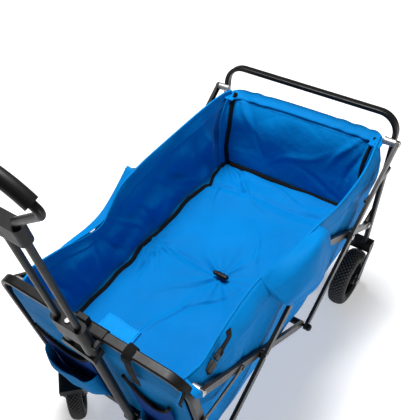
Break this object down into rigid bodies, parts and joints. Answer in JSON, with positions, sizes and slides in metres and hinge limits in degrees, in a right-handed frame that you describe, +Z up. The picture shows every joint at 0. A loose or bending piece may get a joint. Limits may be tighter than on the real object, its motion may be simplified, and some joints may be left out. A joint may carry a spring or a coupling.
{
  "type": "folding beach cart",
  "caption": "Folding fabric cart with bent hoop frames, crossed side arms, swivel front wheels and a telescoping pull handle.",
  "frame": {"origin": "on the ground under the middle of the overall length, on the centre plane", "axes": "+X the way the cart is pulled, +Y the cart's left side, +Z up"},
  "size_m": [1.022, 0.563, 1.0905],
  "materials": {
    "frame_black": "satin black powder coat",
    "arm_black": "satin black powder coat",
    "chrome": "bright plated",
    "steel": "zinc plated",
    "black_plastic": "moulded, fine grain",
    "rim_black": "moulded",
    "tyre": "moulded rubber with diamond tread",
    "grip_rubber": "soft grip, satin",
    "blue_fabric": "coated woven polyester",
    "navy_mesh": "mesh",
    "webbing": "woven tape"
  },
  "bodies": {
    "front_frame": {"front_hoop": "frame_black", "front_beam": "frame_black", "front_beam_caps": "black_plastic", "front_pivot_pins": "chrome", "front_spacers": "black_plastic", "handle_bracket": "frame_black", "handle_hinge_pin": "chrome", "handle_clip": "black_plastic", "bag_floor": "blue_fabric", "bag_sides": "blue_fabric", "bag_front": "blue_fabric", "front_pockets": "navy_mesh", "rail_strap": "webbing", "floor_flap": "blue_fabric", "corner_buckle": "black_plastic"},
    "outer_front": {"outer_front_arms": "arm_black", "front_cross_pins": "chrome", "front_cross_spacers": "black_plastic", "top_pivot_pins": "chrome"},
    "inner_front": {"inner_front_arms": "arm_black", "front_head_pins": "chrome", "low_cross_tube": "arm_black", "low_pivot_feet": "black_plastic"},
    "inner_rear": {"inner_rear_arms": "arm_black", "rear_cross_pins": "chrome", "rear_cross_spacers": "black_plastic"},
    "outer_rear": {"outer_rear_arms": "arm_black", "rear_head_pins": "chrome"},
    "rear_frame": {"rear_hoop": "frame_black", "rear_beam": "frame_black", "rear_beam_caps": "black_plastic", "rear_pivot_pins": "chrome", "rear_spacers": "black_plastic", "bag_rear": "blue_fabric", "rear_axles": "steel"},
    "front_strut": {"front_struts": "arm_black"},
    "rear_strut": {"rear_struts": "arm_black"},
    "floor_pull": {"floor_grip": "black_plastic"},
    "rear_wheel_left": {"rear_tyre_left": "tyre", "rear_rim_left": "rim_black"},
    "rear_wheel_right": {"rear_tyre_right": "tyre", "rear_rim_right": "rim_black"},
    "caster_left": {"caster_fork_left": "frame_black", "caster_axle_left": "steel"},
    "caster_right": {"caster_fork_right": "frame_black", "caster_axle_right": "steel"},
    "front_wheel_left": {"front_tyre_left": "tyre", "front_rim_left": "rim_black"},
    "front_wheel_right": {"front_tyre_right": "tyre", "front_rim_right": "rim_black"},
    "handle": {"handle_lower_tube": "frame_black", "handle_sleeves": "frame_black", "handle_yoke": "black_plastic", "handle_head": "black_plastic"},
    "handle_top": {"handle_rods": "frame_black", "handle_top_yoke": "black_plastic", "handle_loop": "frame_black", "handle_grip": "grip_rubber"},
    "lock_button": {"handle_lock_button": "chrome"}
  },
  "joints": [
    {"name": "fold", "type": "hinge", "parent": "front_frame", "child": "outer_front", "pos_m": [0.307, 0, 0.27829], "axis": [0, 1, 0], "range_deg": [0, 41], "deforming": ["bag_floor", "bag_sides"]},
    {"name": "inner_front_turn", "type": "hinge", "parent": "outer_front", "child": "inner_front", "pos_m": [0.152, 0, 0.3815], "axis": [0, 1, 0], "range_deg": [-82, 0]},
    {"name": "inner_rear_turn", "type": "hinge", "parent": "outer_front", "child": "inner_rear", "pos_m": [-0.053, 0, 0.518], "axis": [0, 1, 0], "range_deg": [-82, 0]},
    {"name": "rear_frame_turn", "type": "hinge", "parent": "inner_rear", "child": "rear_frame", "pos_m": [-0.413, 0, 0.27829], "axis": [0, 1, 0], "range_deg": [0, 41]},
    {"name": "outer_rear_turn", "type": "hinge", "parent": "inner_rear", "child": "outer_rear", "pos_m": [-0.258, 0, 0.3815], "axis": [0, 1, 0], "range_deg": [0, 82]},
    {"name": "front_strut_turn", "type": "hinge", "parent": "front_frame", "child": "front_strut", "pos_m": [0.3718, 0, 0.432], "axis": [0, 1, 0], "range_deg": [0, 52.05]},
    {"name": "rear_strut_turn", "type": "hinge", "parent": "rear_frame", "child": "rear_strut", "pos_m": [-0.4778, 0, 0.432], "axis": [0, 1, 0], "range_deg": [-52.05, 0]},
    {"name": "floor_pull_slide", "type": "slide", "parent": "front_frame", "child": "floor_pull", "axis": [1, 0, 0], "range_m": [0, 0.2425]},
    {"name": "rear_spin_left", "type": "hinge", "parent": "rear_frame", "child": "rear_wheel_left", "pos_m": [-0.379, 0.233, 0.086], "axis": [0, 1, 0], "continuous": true},
    {"name": "rear_spin_right", "type": "hinge", "parent": "rear_frame", "child": "rear_wheel_right", "pos_m": [-0.379, -0.233, 0.086], "axis": [0, 1, 0], "continuous": true},
    {"name": "swivel_left", "type": "hinge", "parent": "front_frame", "child": "caster_left", "pos_m": [0.335, 0.205, 0.16], "axis": [0, 0, 1], "continuous": true},
    {"name": "front_spin_left", "type": "hinge", "parent": "caster_left", "child": "front_wheel_left", "pos_m": [0.35339, 0.22339, 0.076], "axis": [-0.7071, 0.7071, 0], "continuous": true},
    {"name": "swivel_right", "type": "hinge", "parent": "front_frame", "child": "caster_right", "pos_m": [0.335, -0.205, 0.16], "axis": [0, 0, 1], "continuous": true},
    {"name": "front_spin_right", "type": "hinge", "parent": "caster_right", "child": "front_wheel_right", "pos_m": [0.35339, -0.18662, 0.076], "axis": [-0.7071, 0.7071, 0], "continuous": true},
    {"name": "handle_tilt", "type": "hinge", "parent": "front_frame", "child": "handle", "pos_m": [0.36155, 0.029, 0.17834], "axis": [0, 1, 0], "range_deg": [0, 85]},
    {"name": "handle_slide", "type": "slide", "parent": "handle", "child": "handle_top", "axis": [0.1503, 0, 0.9886], "range_m": [-0.22, 0]},
    {"name": "lock_press", "type": "slide", "parent": "handle", "child": "lock_button", "axis": [-0.1503, 0, -0.9886], "range_m": [0, 0.003], "stiffness_N_per_m": 400}
  ],
  "couplings": [
    {"joint": "inner_front_turn", "follows": "fold", "ratio": -2},
    {"joint": "inner_rear_turn", "follows": "fold", "ratio": -2},
    {"joint": "rear_frame_turn", "follows": "fold", "ratio": 1},
    {"joint": "outer_rear_turn", "follows": "fold", "ratio": 2},
    {"joint": "front_strut_turn", "follows": "fold", "ratio": 1.2692},
    {"joint": "rear_strut_turn", "follows": "fold", "ratio": -1.2692},
    {"joint": "floor_pull_slide", "follows": "fold", "m_per_rad": 0.33869}
  ]
}
